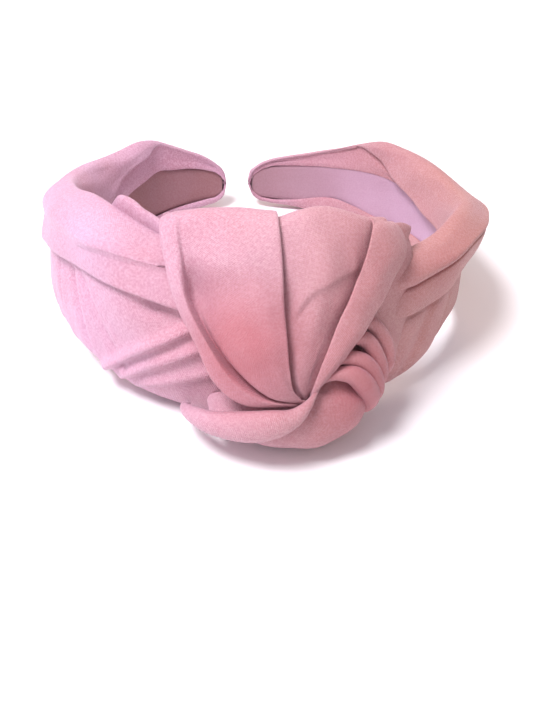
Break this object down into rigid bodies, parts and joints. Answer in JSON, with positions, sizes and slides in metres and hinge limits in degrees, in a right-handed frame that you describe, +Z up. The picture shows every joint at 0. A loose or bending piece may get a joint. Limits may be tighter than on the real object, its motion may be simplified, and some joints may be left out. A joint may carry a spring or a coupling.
{
  "type": "knotted headband",
  "caption": "Wide fabric-covered headband, open at the back, with a pleated turban knot at the crown.",
  "frame": {"origin": "centre of the bounding box, on the surface the headband rests on", "axes": "+Z up from that surface; -Y towards the knot, +Y towards the two tips; +X towards the arm on the right when facing the knot"},
  "size_m": [0.1495, 0.1531, 0.0721],
  "materials": {
    "cover_cloth": "fine satin-backed crepe, soft sheen",
    "lining_cloth": "smooth lining cloth, faint sheen",
    "hoop_plastic": "matte",
    "sponge": "matte"
  },
  "bodies": {
    "crown": {"hoop_core": "hoop_plastic", "inner_lining": "lining_cloth", "knot_base_wrap": "cover_cloth", "knot_fan": "cover_cloth", "knot_cross_loop": "cover_cloth"},
    "left_arm": {"left_pad": "sponge", "left_upper_wrap": "cover_cloth", "left_lower_wrap": "cover_cloth"},
    "right_arm": {"right_pad": "sponge", "right_upper_wrap": "cover_cloth", "right_lower_wrap": "cover_cloth"}
  },
  "joints": [
    {"name": "left_arm_flex", "type": "hinge", "parent": "crown", "child": "left_arm", "pos_m": [-0.04641, -0.03453, 0.02879], "axis": [0, 0.1685, 0.9857], "range_deg": [0, 18], "stiffness_Nm_per_rad": 1, "deforming": ["hoop_core", "inner_lining"]},
    {"name": "right_arm_flex", "type": "hinge", "parent": "crown", "child": "right_arm", "pos_m": [0.04641, -0.03453, 0.02879], "axis": [0, -0.1685, -0.9857], "range_deg": [0, 18], "stiffness_Nm_per_rad": 1, "deforming": ["hoop_core", "inner_lining"]}
  ]
}
